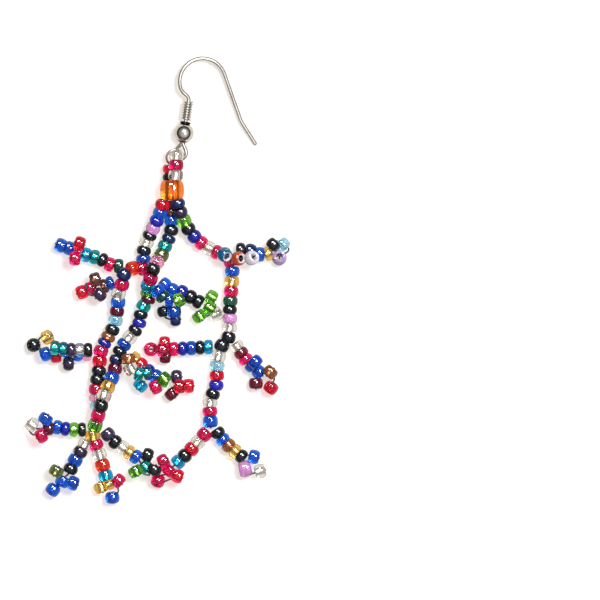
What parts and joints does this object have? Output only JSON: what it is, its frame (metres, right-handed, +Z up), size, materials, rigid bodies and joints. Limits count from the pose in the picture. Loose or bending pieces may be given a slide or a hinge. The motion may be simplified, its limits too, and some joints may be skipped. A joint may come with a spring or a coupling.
{
  "type": "seed bead earring",
  "caption": "Drop earring of mixed glass seed beads on a fish hook ear wire: three strands with short branches, laid flat.",
  "frame": {"origin": "on the table, under the middle of the earring's bounding box as it lies flat", "axes": "+Y from the tips of the strands towards the hook, +X to the right seen from above, +Z up off the table"},
  "size_m": [0.0443, 0.0748, 0.0048],
  "materials": {
    "bright_metal": "bright silver plate",
    "amber_glass": "glossy, silver lined",
    "red_glass": "glossy",
    "blue_glass": "glossy",
    "teal_glass": "glossy, silver lined",
    "dark_glass": "glossy, opaque",
    "clear_glass": "glossy, clear",
    "black_thread": "waxed thread"
  },
  "bodies": {
    "root": {"ear_wire": "bright_metal", "wire_coil": "bright_metal", "ball_bead": "bright_metal", "jump_ring": "bright_metal", "bead_loop": "red_glass", "large_bead": "amber_glass", "left_strand": "red_glass", "left_branch_1": "red_glass", "left_branch_2": "dark_glass", "left_branch_3": "teal_glass", "left_branch_4": "dark_glass", "middle_strand": "blue_glass", "middle_tip": "amber_glass", "middle_branch_1": "blue_glass", "middle_branch_2": "blue_glass", "middle_branch_3": "teal_glass", "middle_branch_4": "red_glass", "right_strand": "blue_glass", "right_branch_1": "blue_glass", "right_branch_2": "clear_glass", "right_branch_3": "blue_glass", "right_branch_4": "blue_glass", "right_branch_5": "red_glass", "right_branch_6": "dark_glass", "foot_branch_1": "blue_glass", "foot_branch_2": "blue_glass", "foot_branch_3": "dark_glass"}
  },
  "joints": []
}
